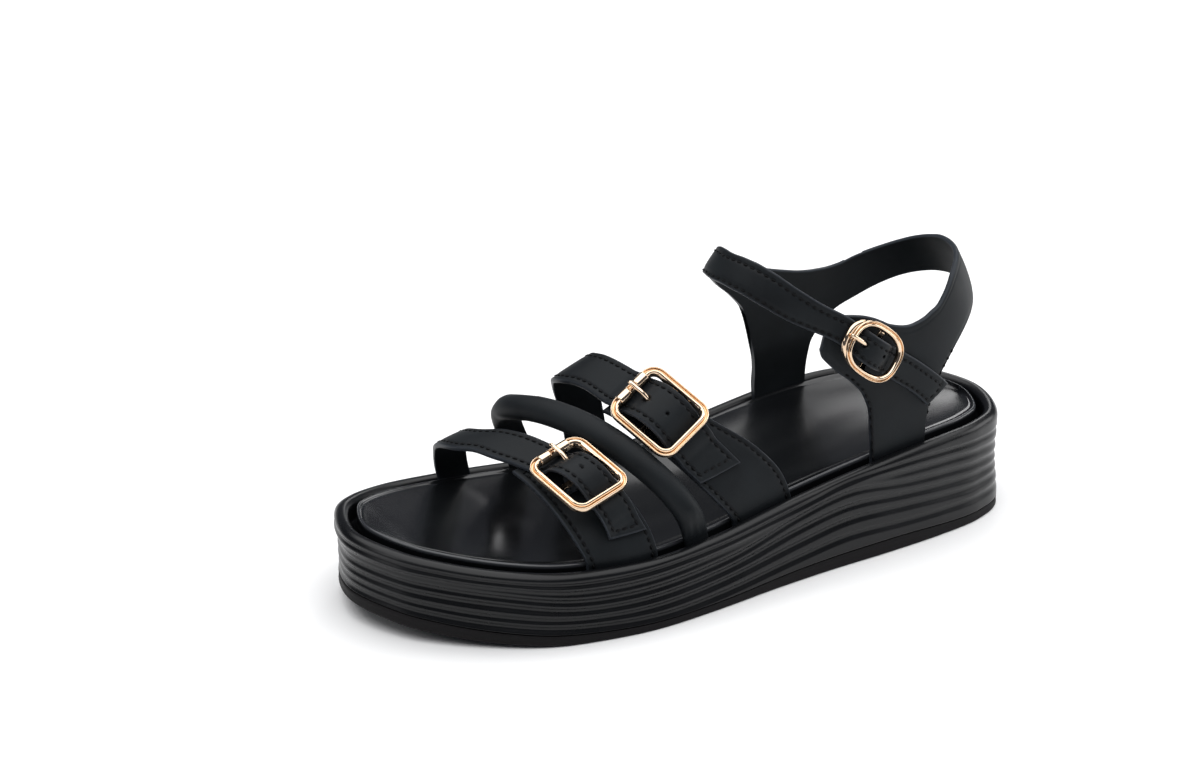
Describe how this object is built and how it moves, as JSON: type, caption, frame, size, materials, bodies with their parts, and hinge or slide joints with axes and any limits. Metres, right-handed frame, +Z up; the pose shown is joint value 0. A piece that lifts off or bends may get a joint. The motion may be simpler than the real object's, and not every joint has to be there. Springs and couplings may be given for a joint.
{
  "type": "sandal",
  "caption": "Left flatform sandal in black leather: buckled strap bands and a padded round strap over the forefoot, a buckled ankle strap and a rippled platform sole.",
  "frame": {"origin": "bottom centre of the bounding box, on the floor", "axes": "+X from heel to toe, +Y to the wearer's left, which is the outer side of the foot, +Z up"},
  "size_m": [0.2634, 0.1049, 0.1144],
  "materials": {
    "tread_rubber": "matt moulded thermoplastic rubber",
    "platform_foam": "satin moulded foam with a skin",
    "insole_leather": "glossy smooth leather over foam",
    "strap_leather": "matt smooth leather, folded and stitched",
    "gold_plate": "polished pale gold plate on zinc alloy"
  },
  "bodies": {
    "root": {"outsole": "tread_rubber", "midsole": "platform_foam", "insole": "insole_leather", "toe_strap_base": "strap_leather", "toe_strap": "strap_leather", "tube_strap": "strap_leather", "instep_strap_base": "strap_leather", "instep_strap": "strap_leather", "ankle_upper": "strap_leather", "toe_buckle": "gold_plate", "instep_buckle": "gold_plate", "ankle_buckle": "gold_plate", "toe_prong": "gold_plate", "instep_prong": "gold_plate", "ankle_prong": "gold_plate"}
  },
  "joints": []
}
